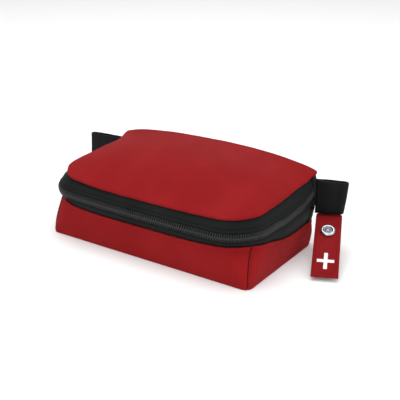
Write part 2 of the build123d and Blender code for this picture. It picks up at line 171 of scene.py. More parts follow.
def lower_edge(s):
    """Height of the zip band's lower edge at a distance round."""
    return through(LOWER_EDGE, abs(s - ROUND / 2)) + through(LEFT_LOWER, s)


def upper_edge(s):
    return through(UPPER_EDGE, abs(s - ROUND / 2)) + through(LEFT_UPPER, s)


def parting(s):
    return through(PARTING, s)


def flare(y):
    """How much the lid's rim has widened at a depth."""
    return FLARE * max(0.0, (y - FLARE_FROM) / (BACK_Y - FLARE_FROM)) ** 2


def smooth(t):
    t = min(max(t, 0.0), 1.0)
    return t * t * (3 - 2 * t)


def ripple(a, b, seed):
    """Gentle unevenness, from -1 to 1, the same each run."""
    return noise.noise(Vector((a, b, seed * 7.31)))


def steps(start, end, spacing):
    """Evenly spaced values from start to end."""
    count = max(1, round(abs(end - start) / spacing))
    return [start + (end - start) * i / count for i in range(count + 1)]


def turns(count):
    """Angles evenly spaced round a circle."""
    return [2 * pi * i / count for i in range(count)]


def heading(line, k):
    """Direction of a line of points at point k."""
    return (line[min(k + 1, len(line) - 1)] - line[max(k - 1, 0)]).normalized()


# ---- materials ----
class Nodes:
    """Small helper that adds linked shader nodes to one material."""

    def __init__(self, name):
        self.material = bpy.data.materials.new(name)
        self.material.use_nodes = True
        self.tree = self.material.node_tree
        self.shader = self.tree.nodes["Principled BSDF"]

    def put(self, socket, value):
        if isinstance(value, bpy.types.NodeSocket):
            self.tree.links.new(value, socket)
        else:
            socket.default_value = value

    def give(self, name, value):
        """Set or link one of the shader's own sockets."""
        self.put(self.shader.inputs[name], value)

    def add(self, kind, inputs=None, **settings):
        """Outputs of a new node; each input is a value or another node's output."""
        node = self.tree.nodes.new("ShaderNode" + kind)
        for name, value in settings.items():
            setattr(node, name, value)
        for name, value in (inputs or {}).items():
            self.put(node.inputs[name], value)
        return node.outputs

    def maths(self, operation, a, b=0.0):
        return self.add("Math", {0: a, 1: b}, operation=operation)[0]

    def uneven(self, value, spread, base):
        """base, raised by up to spread as value goes from 0 to 1."""
        return self.maths("ADD", self.maths("MULTIPLY", value, spread), base)

    def wave(self, value, pitch):
        """Sine wave that crosses zero once in each pitch."""
        return self.maths("SINE", self.maths("MULTIPLY", value, pi / pitch))

    def span(self, value, low, high):
        """value mapped so that low gives 0 and high gives 1, clamped and eased."""
        inputs = {"Value": value, "From Min": low, "From Max": high}
        return self.add("MapRange", inputs, interpolation_type="SMOOTHSTEP")[0]

    def uv(self):
        """Distance along and across the piece, in metres."""
        return self.add("SeparateXYZ", {0: self.add("UVMap")[0]})[:2]

    def cloud(self, scale, detail=3.0, stretch=None):
        """Noise in the piece's own space, in cycles for each metre."""
        where = self.add("TexCoord")["Object"]
        if stretch:
            where = self.add("Mapping", {"Vector": where, "Scale": stretch})[0]
        return self.add("TexNoise", {"Vector": where, "Scale": scale, "Detail": detail})[0]

    def blend(self, share, first, second):
        return self.add("Mix", {0: share, 6: first, 7: second}, data_type="RGBA")[2]

    def bump(self, height, depth, strength=1.0, under=None):
        inputs = {"Strength": strength, "Distance": depth, "Height": height}
        if under is not None:
            inputs["Normal"] = under
        return self.add("Bump", inputs)[0]

    def weave(self, along, across):
        """Height of a plain weave with those thread pitches, from 0 to 1."""
        u, v = self.uv()
        wave_u, wave_v = self.wave(u, along), self.wave(v, across)
        over = self.span(self.maths("MULTIPLY", wave_u, wave_v), -0.25, 0.25)
        under = self.maths("SUBTRACT", 1.0, over)
        warp = self.maths("MULTIPLY", self.maths("ABSOLUTE", wave_u), over)
        weft = self.maths("MULTIPLY", self.maths("ABSOLUTE", wave_v), under)
        return self.maths("ADD", warp, weft)


def colour(red, green, blue):
    """A colour given as it looks on a screen, from 0 to 255."""
    def linear(c):
        c /= 255
        return c / 12.92 if c <= 0.04045 else ((c + 0.055) / 1.055) ** 2.4
    return (linear(red), linear(green), linear(blue), 1.0)


def dimmed(base, share):
    return tuple(c * share for c in base[:3]) + (1.0,)


def cloth_material(name, base, thread, roughness=0.85, sheen=0.02, depth=0.0001, shade=0.82):
    """Woven fabric: thread relief, painted shade in the gaps of the weave, slow colour drift and soft
    sheen.
    """
    m = Nodes(name)
    height = m.weave(thread, thread * 0.9)
    light = tuple(min(1.0, c * 1.07 + 0.002) for c in base[:3]) + (1.0,)
    # Painted shade: the weave's low parts, its gaps, are darkened to the share shade of the base colour.
    gap_shaded_threads = m.blend(m.span(height, 0.15, 0.75), dimmed(base, shade), base)
    m.give("Base Color", m.blend(m.span(m.cloud(38, 4), 0.35, 0.7), gap_shaded_threads, light))
    m.give("Roughness", m.uneven(m.cloud(500, 2), 0.12, roughness - 0.06))
    m.give("Sheen Weight", sheen)
    m.give("Sheen Roughness", 0.45)
    m.give("Specular IOR Level", 0.08)
    slub = m.bump(m.cloud(900, 2), depth * 0.8, 0.5)
    m.give("Normal", m.bump(height, depth, 0.8, slub))
    return m.material


def coated_material(name, base):
    """The fabric's coated inner face: smooth, slightly mottled."""
    m = Nodes(name)
    spots = m.span(m.cloud(260, 5), 0.3, 0.75)
    m.give("Base Color", m.blend(spots, base, dimmed(base, 0.85)))
    m.give("Roughness", m.uneven(spots, 0.1, 0.5))
    m.give("Normal", m.bump(m.weave(0.0006, 0.0006), 0.00004, 0.6))
    return m.material


def webbing_material(name, base, rib):
    """Narrow woven webbing: ribs across its length in a herringbone, tight selvedges, painted shade in
    the ribs' grooves.
    """
    m = Nodes(name)
    u, v = m.uv()
    lean = m.maths("ABSOLUTE", m.wave(v, 0.0048))
    shifted = m.maths("ADD", u, m.maths("MULTIPLY", lean, rib * 1.6))
    ribs = m.maths("ABSOLUTE", m.wave(shifted, rib))
    fine = m.maths("ABSOLUTE", m.wave(v, rib * 0.6))
    height = m.maths("ADD", m.maths("MULTIPLY", ribs, 0.7), m.maths("MULTIPLY", fine, 0.3))
    # Painted shade: where the ribs are low the colour is darkened to 0.6 of the base.
    m.give("Base Color", m.blend(m.span(height, 0.2, 0.8), dimmed(base, 0.6), base))
    m.give("Roughness", m.uneven(m.cloud(700, 2), 0.15, 0.66))
    m.give("Specular IOR Level", 0.2)
    m.give("Normal", m.bump(height, 0.00006, 0.6))
    return m.material


def plastic_material(name, base, roughness, grain=0.00003):
    """Moulded plastic or nylon, with a fine grain and faint unevenness."""
    m = Nodes(name)
    patch = m.span(m.cloud(300, 3), 0.3, 0.7)
    m.give("Base Color", m.blend(patch, base, dimmed(base, 0.88)))
    m.give("Roughness", m.uneven(patch, 0.1, roughness))
    m.give("Normal", m.bump(m.cloud(2500, 3), grain, 0.5))
    return m.material


def metal_material(name, base, roughness, brushed=False):
    """Plated or ground metal, with fine scratches and duller patches of wear."""
    m = Nodes(name)
    m.give("Metallic", 1.0)
    wear = m.span(m.cloud(420, 5), 0.35, 0.7)
    m.give("Base Color", m.blend(wear, base, dimmed(base, 0.85)))
    m.give("Roughness", m.uneven(wear, 0.12, roughness))
    grain = m.cloud(1.0, 2, (60, 5200, 5200)) if brushed else m.cloud(2200, 2)
    m.give("Normal", m.bump(grain, 0.00003, 0.5))
    return m.material


def packet_material(name, ground, band, low, high, across=False):
    """Crimped film packet: a printed band of plain colour between two shares of its length."""
    m = Nodes(name)
    u, v = m.uv()
    place = v if across else u
    past, short = m.maths("GREATER_THAN", place, low), m.maths("LESS_THAN", place, high)
    m.give("Base Color", m.blend(m.maths("MULTIPLY", past, short), ground, band))
    m.give("Roughness", m.uneven(m.cloud(120, 3), 0.2, 0.3))
    m.give("Normal", m.bump(m.cloud(240, 4), 0.0003, 0.35))
    return m.material


RED = cloth_material("red_weave", colour(139, 20, 23), 0.00045)
RED_BACKING = coated_material("red_backing", colour(120, 22, 26))
STRAP_RED = cloth_material("strap_weave", colour(128, 18, 22), 0.0004)
THREAD = cloth_material("red_thread", colour(120, 16, 20), 0.00012, roughness=0.6)
BLACK_TAPE = cloth_material("tape_weave", colour(22, 25, 25), 0.00038, 0.7, 0.03, shade=0.6)
BLACK_THREAD = cloth_material("black_thread", colour(18, 19, 19), 0.00012, 0.6, 0.03)
BLACK_COIL = plastic_material("coil_nylon", colour(21, 22, 22), 0.45)
WEBBING = webbing_material("webbing_weave", colour(9, 9, 10), 0.0005)
CHROME = metal_material("stud_chrome", colour(196, 198, 200), 0.2)
# The stud's dished centre: rougher metal, and its colour darkened as painted shade.
DULL_SHADED_CHROME = metal_material("stud_pressed_centre", colour(128, 136, 142), 0.34)
STEEL = metal_material("blade_ground", colour(200, 203, 206), 0.24, brushed=True)
DARK_METAL = metal_material("slider_black", colour(62, 63, 66), 0.34)
BLUE = plastic_material("handle_blue", colour(28, 62, 150), 0.32)
PRINT = plastic_material("white_ink", colour(236, 234, 232), 0.55, 0.00006)


# ---- mesh helpers ----
def add_object(name, data):
    """A new object in the scene."""
    thing = bpy.data.objects.new(name, data)
    bpy.context.scene.collection.objects.link(thing)
    return thing


def make_mesh(name, points, faces, material, uvs=None, extra=()):
    """A smooth-shaded mesh object from points in millimetres, with uvs (or x and y) as its UV map."""
    mesh = bpy.data.meshes.new(name)
    mesh.from_pydata([Vector(p) * MM for p in points], [], faces)
    layer = mesh.uv_layers.new(name="UVMap")
    for loop in mesh.loops:
        p = points[loop.vertex_index]
        where = uvs[loop.vertex_index] if uvs else (p[0], p[1])
        layer.data[loop.index].uv = (where[0] * MM, where[1] * MM)
    for used in (material, *extra):
        mesh.materials.append(used)
    for face in mesh.polygons:
        face.use_smooth = True
    return add_object(name, mesh)


def apply_modifiers(piece):
    """Bake a piece's modifiers into its mesh."""
    graph = bpy.context.evaluated_depsgraph_get()
    baked = bpy.data.meshes.new_from_object(piece.evaluated_get(graph))
    piece.modifiers.clear()
    old, piece.data = piece.data, baked
    bpy.data.meshes.remove(old)


def recalculate(piece):
    """Point all faces outwards."""
    work = bmesh.new()
    work.from_mesh(piece.data)
    bmesh.ops.recalc_face_normals(work, faces=work.faces)
    work.to_mesh(piece.data)
    work.free()
    return piece


def tube_faces(first, rings, size, closed=False):
    """Faces of a tube whose sections are rings of size points, numbered from first on."""
    faces = []
    for r in range(rings - 1 + closed):
        here, there = first + r * size, first + (r + 1) % rings * size
        for c in range(size):
            d = (c + 1) % size
            faces.append((here + c, here + d, there + d, there + c))
    if not closed:
        faces.append(tuple(first + c for c in reversed(range(size))))
        faces.append(tuple(first + (rings - 1) * size + c for c in range(size)))
    return faces


def swept_uvs(rings):
    """Distance along the path and round the profile for each point of a sweep."""
    along, uvs = 0.0, []
    for k, ring in enumerate(rings):
        if k:
            along += sum(((a - b).length for a, b in zip(ring, rings[k - 1])), 0.0) / len(ring)
        around = 0.0
        for i, p in enumerate(ring):
            if i:
                around += (p - ring[i - 1]).length
            uvs.append((along, around))
    return uvs


def sweep(name, rings, material, closed=False, backing=None, backing_from=None):
    """A closed profile carried along a path. rings holds one list of points for each station.
    Faces from profile point backing_from on take the backing material."""
    count = len(rings[0])
    points = [p for ring in rings for p in ring]
    faces = tube_faces(0, len(rings), count, closed)
    piece = make_mesh(name, points, faces, material, swept_uvs(rings), [backing] if backing else [])
    if backing:
        for face in piece.data.polygons[: (len(rings) - 1) * count]:
            if face.index % count >= backing_from:
                face.material_index = 1
    return recalculate(piece)


def join(name, pieces):
    """Several meshes made into one."""
    work = bmesh.new()
    for piece in pieces:
        work.from_mesh(piece.data)
    first = pieces[0]
    work.to_mesh(first.data)
    work.free()
    for piece in pieces[1:]:
        bpy.data.objects.remove(piece)
    first.name = name
    first.data.name = name
    return first


def finish_piece(piece, body, slot, *replaced):
    """Say what a piece rides on and which CAD nodes it stands for. slot is not used."""
    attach(piece, body)
    if replaced:
        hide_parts(*replaced)


# One stitch: share of its length, height above the cloth and relative thickness.
STITCH = [(0.0, -0.1, 0.5), (0.15, 0.08, 0.9), (0.5, 0.16, 1.0), (0.85, 0.08, 0.9), (1.0, -0.1, 0.5)]


def stitches(name, line, material, length, gap, radius):
    """Sewn thread: a short raised bar for each stitch along a line of (point, outward) pairs."""
    points, faces, uvs = [], [], []
    spans = [0.0]
    for (a, _), (b, _) in zip(line, line[1:]):
        spans.append(spans[-1] + (b - a).length)

    def locate(distance):
        k = 0
        while k < len(spans) - 2 and spans[k + 1] < distance:
            k += 1
        t = (distance - spans[k]) / max(spans[k + 1] - spans[k], 1e-6)
        (a, na), (b, nb) = line[k], line[k + 1]
        return a.lerp(b, t), na.lerp(nb, t).normalized(), (b - a).normalized()

    start = gap / 2
    while start + length < spans[-1]:
        faces += tube_faces(len(points), len(STITCH), 6)
        for share, lift, size in STITCH:
            middle, out, ahead = locate(start + length * share)
            side = ahead.cross(out).normalized()
            for corner, turn in enumerate(turns(6)):
                raised = middle + out * (lift + radius * size * sin(turn))
                points.append(raised + side * radius * size * cos(turn))
                uvs.append((start + length * share, radius * corner))
        start += length + gap
    return recalculate(make_mesh(name, points, faces, material, uvs))


# ---- walls ----
DRAPE = 0.35              # how far cloth wanders between its seams
PUCKER = 0.16             # how far the zip's seam gathers the wall's top
BACK_ROUND, BACK_SHARPENS = 4.5, 3.2      # the back corner's radius at the base, and its loss upwards
SEAM_REACH = 25           # the right seam's lean fades over this distance
SEAM_STITCH = (1.9, 0.9, 0.14)            # length, gap and radius of a stitch


def wall_grow(t):
    """How far the wall stands out, by its share of the height."""
    return 0.9 * sin(pi * min(t, 1.0)) * (1 - 0.25 * t) + 0.5 * max(0.0, 1 - t) ** 3


def wall_point(s, t, off, drop=0.0):
    """A point on the wall: distance round, share of its height, offset outwards and a small rise."""
    s += SEAM_LEAN * t * exp(-((s - SEAM_RIGHT) / SEAM_REACH) ** 2)
    top = lower_edge(s)
    z = t * top + drop
    radius = BASE_CORNER + (CORNER - BASE_CORNER) * max(t, 0.0) ** 1.1
    place, out = at(s, wall_grow(t), radius)
    from_back = max(0.0, min(s, ROUND - s))
    back_round = BACK_ROUND - BACK_SHARPENS * t
    if from_back < back_round:
        place = place - out * (back_round - sqrt(back_round ** 2 - (back_round - from_back) ** 2))
    pucker = PUCKER * sin(s * 0.9 + 2 * ripple(s * 0.05, 0, 1)) * smooth(1 - (top - z) / 7)
    drape = DRAPE * ripple(s * 0.055, z * 0.035, 2) * sin(pi * min(max(t, 0), 1))
    place = place + out * (off + pucker + drape)
    return Vector((place.x, place.y, z))


# The wall's section, up the outer face, over the folded top edge and down inside: share of the
# height, offset, rise, and whether the tuck at a seam draws the point in.
WALL_FACE = [0.1 + 0.8 * i / 9 for i in range(10)]
WALL_SECTION = [(0, -1.5, 0.35, 0), (0, -0.6, 0.02, 0), (0, -0.05, 0.1, 1), (0.03, 0.15, 0.2, 1)]
WALL_SECTION += [(t, 0.0, 0.0, 1) for t in WALL_FACE]
WALL_SECTION += [(1, 0.12, -1.2, 1), (1, 0.3, -0.7, 1), (1, 0.3, -0.25, 1), (1, 0.05, 0.05, 1),
                 (1, -0.4, 0.1, 1)]
WALL_INSIDE = len(WALL_SECTION) + 1
WALL_SECTION += [(1, -0.85, -0.1, 0), (1, -1.05, -0.6, 0)]
WALL_SECTION += [(t, -WALL, 0.0, 0) for t in reversed(WALL_FACE)]


def build_wall(side, start, end):
    """One wall of the pouch between two seams, where its edges turn inwards."""
    near = [0.0, 0.35, 0.8, 1.5]
    stations = [start + d for d in near] + steps(start + 2.5, end - 2.5, 1.5)
    rings = []
    for s in stations + [end - d for d in reversed(near)]:
        tuck = 0.75 * exp(-(min(s - start, end - s) / 0.55) ** 2)
        rings.append([wall_point(s, t, off - tuck * drawn, rise) for t, off, rise, drawn in WALL_SECTION])
    piece = sweep(f"{side}_wall_cloth", rings, RED, backing=RED_BACKING, backing_from=WALL_INSIDE)
    finish_piece(piece, "pouch", "red_fabric", f"{side}_panel")


# The seam ridge's section: distance from the seam and height above the wall.
SEAM_RIDGE = [(0.15, -0.3), (0.3, 0.16), (0.6, 0.3), (1.0, 0.3), (1.35, 0.12), (1.6, -0.3)]
STITCHES_FROM_SEAM = 1.9
BOTTOM_CENTRE = Vector((0, 3))
BOTTOM_SHARES = [1.0, 0.985, 0.93, 0.8, 0.6, 0.4, 0.2, 0.03]      # its rings, by size
# The bottom's two faces: number, height and how far the rim is raised.
BOTTOM_LAYERS = [(0, 0.25, 0.25), (1, 1.35, -0.25)]


def build_corner_seam(name, seam, side):
    """The stitched ridge beside a corner seam."""
    out = Vector((*at(seam)[1], 0))
    rings, line = [], []
    for share in [i / 14 for i in range(15)]:
        t = 0.06 + 0.9 * share
        rings.append([wall_point(seam + side * shift, t, lift) for shift, lift in SEAM_RIDGE])
        line.append((wall_point(seam + side * STITCHES_FROM_SEAM, 0.08 + 0.86 * share, 0.02), out))
    finish_piece(sweep(name, rings, RED), "pouch", "red_fabric")
    sewn = stitches(name + "_stitches", line, THREAD, *SEAM_STITCH)
    finish_piece(sewn, "pouch", "red_fabric")


def build_bottom():
    """The bottom panel: one layer of fabric with a rounded edge and a gently uneven middle."""
    points, faces = [], []
    walls = [wall_point(s, 0, -0.9) for s in steps(0, ROUND, 1.5)]
    outline = [Vector((p.x, min(p.y, BACK_Y - 0.5))) for p in walls]
    count, rows = len(outline), len(BOTTOM_SHARES)
    for layer, z, edge in BOTTOM_LAYERS:
        faces += tube_faces(len(points), rows, count)
        del faces[-2]     # the layer is open at its rim
        for share in BOTTOM_SHARES:
            for q in [BOTTOM_CENTRE.lerp(p, share) for p in outline]:
                rise = 0.12 * ripple(q.x * 0.05, q.y * 0.05, 3 + layer) * (1 - share)
                points.append((q.x, q.y, z + rise + (edge if share == 1.0 else 0.0)))
    for i in range(count):
        j = (i + 1) % count
        faces.append((i, j, rows * count + j, rows * count + i))
    piece = recalculate(make_mesh("bottom_cloth", points, faces, RED, extra=[RED_BACKING]))
    for face in piece.data.polygons:
        face.material_index = 1 if face.normal.z > 0.5 else 0
    finish_piece(piece, "pouch", "red_fabric", "bottom_panel")


# ---- lid ----
LID_HALF = HALF - TUCK
LID_FRONT = FRONT_Y + TUCK
LID_DEEP = BACK_Y - LID_FRONT
RIM_LIFT = 0.9            # the rim's fold hangs down to the zip band from here


def round_distance(x, y):
    """Distance from the middle of the front, along the band, to the point straight out from x, y."""
    if y > FRONT_Y + CORNER:
        return FRONT_RUN / 2 + ARC_RUN + y - (FRONT_Y + CORNER)
    past = abs(x) - (HALF - CORNER)
    if past <= 0:
        return abs(x)
    return FRONT_RUN / 2 + CORNER * atan2(past, FRONT_Y + CORNER - y)


def lid_half_width(y, side):
    """The lid's half width at a depth, on the left (-1) or the right (1)."""
    radius = LID_CORNER * (LEFT_SHARPER if side < 0 else 1.0)
    half = LID_HALF - (through(LEFT_INSET, y) if side < 0 else 0.0)
    past = LID_FRONT + radius - y
    if past <= 0:
        return half + flare(y)
    return half - radius + sqrt(max(radius ** 2 - past ** 2, 0.0))


def arch(u, share):
    """Share of the lid's rise across its width: fuller in front than at the back."""
    back = smooth((share - 0.5) * 2)
    return max(0.0, 1 - abs(u) ** (3 - 0.6 * back)) ** (0.6 + 0.15 * back)


def lid_height(u, x, y):
    """Height of the lid's top at a share u of its half width."""
    hand = -1 if u < 0 else 1
    share = (y - LID_FRONT) / LID_DEEP
    lift = RIM_LIFT * (1 - 0.8 * smooth((share - 0.7) / 0.3))
    half = ROUND / 2
    side = upper_edge(half + hand * round_distance(hand * lid_half_width(y, hand), y)) + lift
    front = upper_edge(half + min(max(x, -FRONT_RUN / 2), FRONT_RUN / 2)) + lift
    bow = sin(pi / 2 * min(share / CROWN_AT, 1.0)) ** 0.9
    back = (CROWN - BACK_CROWN) * max(0.0, (share - CROWN_AT) / (1 - CROWN_AT)) ** 1.5
    crown = front + (CROWN - front) * bow - back
    high = arch(u, share)
    slack = DRAPE * ripple(x * 0.028, y * 0.034, 5) + 0.12 * ripple(x * 0.09, y * 0.08, 6)
    return side * (1 - high) + crown * high + slack * min(1.0, 3 * high * bow)


def lid_rows():
    """Depths of the lid's rows: close together round the front corners and at the back."""
    rows = [LID_FRONT + LID_CORNER * (1 - cos(pi / 2 * i / 14)) for i in range(15)]
    rows += steps(rows[-1], BACK_Y - 1.6, 1.7)[1:]
    return rows + [BACK_Y - 0.8, BACK_Y - 0.25]


def share_columns(half_count):
    """Shares of a half width from -1 to 1, closer together at both ends."""
    return [sin(pi / 2 * (i / half_count - 1)) for i in range(2 * half_count + 1)]


def lid_grid():
    """The lid's top as rows of points from front to back."""
    rows = []
    for y in lid_rows():
        places = [(u, u * lid_half_width(y, -1 if u < 0 else 1)) for u in share_columns(36)]
        rows.append([Vector((x, y, lid_height(u, x, y))) for u, x in places])
    return rows


LID_FOLD = [(0.3, -0.35), (0.42, -0.8), (0.3, -1.25), (-0.1, -1.5), (-0.7, -1.45), (-1.1, -1.1)]
FOLD_STEP = 0.5           # length of one step
LID_CLOTH = 0.8           # thickness of the lid's fabric
PIPING = 0.55             # radius of the back seam's cord


def fold_edge(points, uvs, faces, edge):
    """Carry the lid's edge through its fold, each step of which gives the way out and up."""
    last, end = edge, len(edge) - 1
    for step, (out, up) in enumerate(LID_FOLD):
        ring = []
        for k, index in enumerate(edge):
            ahead = points[edge[min(k + 1, end)]] - points[edge[max(k - 1, 0)]]
            normal = Vector((ahead.y, -ahead.x, 0)).normalized()
            if k in (0, end):
                normal = Vector((-1 if k == 0 else 1, 0, 0))
            pucker = 0.1 * sin(k * 0.8 + 2 * ripple(k * 0.06, 0, 8))
            ring.append(len(points))
            points.append(points[index] + normal * (out + pucker) + Vector((0, 0, up)))
            reach = (step + 1) * FOLD_STEP
            uvs.append((uvs[index][0] + normal.x * reach, uvs[index][1] + normal.y * reach))
        for k in range(end):
            faces.append((last[k], ring[k], ring[k + 1], last[k + 1]))
        last = ring


def build_lid():
    """The lid's top with its edge folded under, its coated inner face and its back seam."""
    rows = lid_grid()
    deep, wide = len(rows), len(rows[0])
    points = [p for row in rows for p in row]
    uvs = [(p.x, p.y * 1.08) for p in points]
    corners = [r * wide + c for r in range(deep - 1) for c in range(wide - 1)]
    faces = [(a, a + 1, a + 1 + wide, a + wide) for a in corners]
    # the edge, from the back left corner round the front to the back right corner
    edge = [r * wide for r in reversed(range(deep))] + list(range(1, wide))
    edge += [r * wide + wide - 1 for r in range(1, deep)]
    fold_edge(points, uvs, faces, edge)
    lid = recalculate(make_mesh("lid_cloth", points, faces, RED, uvs, [RED_BACKING]))
    if lid.data.polygons[0].normal.z < 0:
        lid.data.flip_normals()
    shell = lid.modifiers.new("backing", "SOLIDIFY")
    shell.thickness = LID_CLOTH * MM
    shell.offset = -1
    shell.material_offset = 1
    shell.material_offset_rim = 0
    apply_modifiers(lid)
    finish_piece(lid, "lid", "red_fabric", "lid_panel")
    build_lid_seam(rows[-1])


def build_lid_seam(edge):
    """The corded seam between the lid and the back wall, and its stitches below it."""
    seam = [[Vector((p.x, BACK_Y + 0.15 + PIPING * cos(a), p.z - 0.35 + PIPING * sin(a)))
             for a in turns(8)] for p in edge]
    finish_piece(sweep("lid_back_seam", seam, RED), "lid", "red_fabric")
    line = [(Vector((p.x, BACK_Y + 0.32, p.z - 2.6)), Vector((0, 1, 0))) for p in edge[2:-2]]
    finish_piece(stitches("lid_back_stitches", line, THREAD, 2.0, 0.9, 0.14), "lid", "red_fabric")


# Half width of the back wall by height, out to the back corner seams.
BACK_WIDTH = [(0, HALF - 4.3), (14, HALF - 1.3), (25, HALF - 0.8), (42, HALF + 0.1)]
BACK_HIGH = 44.0          # the back wall's height in the middle
BACK_EVEN = 38.5          # its rows are level up to here, then follow its upper edge


def finish_folding(piece):
    """Bake a piece's transform into its mesh."""
    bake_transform(piece)


def build_back_wall():
    """The back wall in one piece, from the base up to the lid's seam. Its rows lie closer together at the
    zip's height.
    """
    level = steps(1.2, FOLD_LOW - 1, 2.2) + steps(FOLD_LOW, FOLD_HIGH, 0.6)
    level += steps(FOLD_HIGH + 1, BACK_EVEN, 2.2)
    rings = []
    for u in share_columns(30):
        top = lid_height(u, u * lid_half_width(BACK_Y, 1), BACK_Y - 0.25) - 0.3
        outer = []
        for z in level + [BACK_EVEN + (top - BACK_EVEN) * t for t in (0.34, 0.67, 1.0)]:
            x = u * through(BACK_WIDTH, z)
            sag = DRAPE * ripple(x * 0.04, z * 0.05, 11) * sin(pi * min(z / BACK_HIGH, 1))
            outer.append(Vector((x, BACK_Y + sag, z)))
        inner = [p - Vector((0, WALL, 0)) for p in reversed(outer)]
        foot = [Vector((outer[0].x, BACK_Y - back, z)) for back, z in ((1.3, 0.35), (0.3, 0.05))]
        rings.append(foot + outer + inner)
    inside = len(rings[0]) - len(inner)
    piece = sweep("back_wall_cloth", rings, RED, backing=RED_BACKING, backing_from=inside)
    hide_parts("back_panel_lower", "back_panel_upper")
    finish_folding(piece)


# ---- zip ----
def band(s, z, lift=0.0):
    """Point on the zip band's outer face, raised by lift, and the outward direction."""
    middle = parting(s)
    if z < middle:
        t = max(0.0, (z - lower_edge(s)) / (middle - lower_edge(s)))
        grow = -1.1 + (BULGE + 0.95) * sin(pi / 2 * t) ** 0.8
        radius = CORNER + (CHAIN_CORNER - CORNER) * t
    else:
        t = min(1.0, (z - middle) / (upper_edge(s) - middle))
        place, out = at(s)
        rim = -TUCK - 1.0 + flare(place.y) - max(0.0, -out.x) * through(LEFT_INSET, place.y)
        grow = BULGE - 0.15 + (rim - BULGE + 0.15) * (1 - cos(pi / 2 * t)) ** 1.3
        radius = CHAIN_CORNER + (LID_CORNER - 0.6 - CHAIN_CORNER) * t
    spot, out = at(s, grow - through(LEFT_FLATTER, s), radius)
    spot = spot + out * lift
    return Vector((spot.x, spot.y, z)), Vector((out.x, out.y, 0))


# Relief of the tape by the distance from the parting line: raised cords beside the coil.
TAPE_RELIEF = [(0.35, 0.0), (2.3, 0.0), (2.6, -0.3), (2.75, 0.05), (3.05, 0.34), (3.5, 0.38),
               (3.85, 0.1), (3.95, -0.3), (4.2, -0.05)]


def tape_ring(s, side):
    """Closed section of a zip tape: side is 1 for the upper tape and -1 for the lower one."""
    middle = parting(s)
    edge = upper_edge(s) if side > 0 else lower_edge(s)
    reach = abs(edge - middle)
    relief = TAPE_RELIEF[-1][0]
    levels = TAPE_RELIEF + [(relief + (reach - relief) * t, 0.0) for t in (0.35, 0.7, 1.0)]
    outer, inner = [], []
    for d, lift in levels:
        wave = 0.07 * sin(s * 0.9 + d) * smooth(d / 6)
        outer.append(band(s, middle + side * d, lift + wave)[0])
        inner.append(band(s, middle + side * d, -TAPE)[0])
    if side < 0:
        hidden = Vector((0, 0, -1.4))
        outer.append(band(s, edge, -0.25)[0] + hidden)
        inner.append(band(s, edge, -0.25 - TAPE)[0] + hidden)
    return outer + list(reversed(inner))


ZIP_SIDES = (("lower", -1, "pouch"), ("upper", 1, "lid"))


def build_tapes():
    around = steps(0.4, ROUND - 0.4, 1.3)
    for name, side, body in ZIP_SIDES:
        tape = sweep(name + "_tape_cloth", [tape_ring(s, side) for s in around], BLACK_TAPE)
        finish_piece(tape, body, "zip_tape", name + "_zip_tape")


# A coil tooth's outline: height from its root, half width along the zip, height off the tape.
TOOTH = [(0.0, 0.30, 0.10), (0.35, 0.36, 0.75), (1.3, 0.33, 1.0), (2.2, 0.36, 0.95), (2.75, 0.48, 0.8),
         (3.05, 0.30, 0.35)]
# Its rounded section, in shares of the half width and of the height; below 0 is inside the tape.
TOOTH_SECTION = [(-1, -0.25), (-1, 0.35), (-0.55, 0.9), (0.55, 0.9), (1, 0.35), (1, -0.25)]
TOOTH_SUNK = -0.2         # how deep it reaches into the tape
ROOT_LINE = 2.35          # distance of the roots from the parting line
CHAIN_END = 3.0           # the chain stops this far from the back corners


def build_teeth(name, side, body):
    """One row of coil teeth; its heads reach past the parting line between the other row's."""
    points, faces, uvs = [], [], []
    start = CHAIN_END + (TOOTH_PITCH / 2 if side > 0 else 0.0)
    for k in range(int((ROUND - 2 * CHAIN_END) / TOOTH_PITCH)):
        s = start + k * TOOTH_PITCH
        faces += tube_faces(len(points), len(TOOTH), len(TOOTH_SECTION))
        for rise, half, lift in TOOTH:
            foot, out = band(s, parting(s) + side * (ROOT_LINE - rise))
            along = Vector((-out.y, out.x, 0))
            for across, high in TOOTH_SECTION:
                height = lift * high if high > 0 else TOOTH_SUNK
                points.append(foot + out * height + along * (half * across))
                uvs.append((s + half * across, rise))
    piece = recalculate(make_mesh(name + "_teeth", points, faces, BLACK_COIL, uvs))
    finish_piece(piece, body, "zip_coil", name + "_zip_coil")


def build_zip_stitches():
    """Two rows of thread that hold each coil to its tape."""
    for name, side, body in ZIP_SIDES:
        line = [band(s, parting(s) + side * 2.0, 0.42) for s in steps(2, ROUND - 2, 2.0)]
        sewn = stitches(name + "_coil_stitches", line, BLACK_THREAD, 1.0, 0.3, 0.13)
        finish_piece(sewn, body, "zip_tape")


# Section of the corner binding: outwards from the band's face and back from the back wall.
BINDING = [(-0.6, -4.6), (0.1, -4.4), (0.25, -2.5), (0.2, -0.8), (-0.25, 0.1), (-1.0, 0.5), (-2.4, 0.6),
           (-4.6, 0.55), (-4.8, -0.2), (-1.6, -1.2)]
BINDING_LOW, BINDING_HIGH = 13.2, 40.6


def build_bindings():
    """Black binding folded over the tapes' ends at the back corners."""
    heights = steps(BINDING_LOW, FOLD_LOW, 1.5) + steps(FOLD_LOW, FOLD_HIGH, 0.6)[1:]
    heights += steps(FOLD_HIGH, BINDING_HIGH, 1.5)[1:]
    for name, side, s in (("left_corner_binding", -1, 0.0), ("right_corner_binding", 1, ROUND)):
        rings = []
        for z in heights:
            out_x = abs(band(s, max(z, 15.0), 0.35)[0].x)
            rings.append([Vector((side * (out_x + out), BACK_Y + back, z)) for out, back in BINDING])
        finish_folding(sweep(name, rings, BLACK_TAPE))


# ---- end loops ----
LOOP_THICK = 1.1
LOOP_HALF = 1.55          # from the loop's middle to a layer's middle
LOOP_ROOTED = 2.4         # where the two layers are sewn together
RIGHT_REACH, LEFT_REACH = 16.8, 26.8      # how far the loops stand out
RIGHT_TURN = radians(23.5)                # the right loop points this far backwards


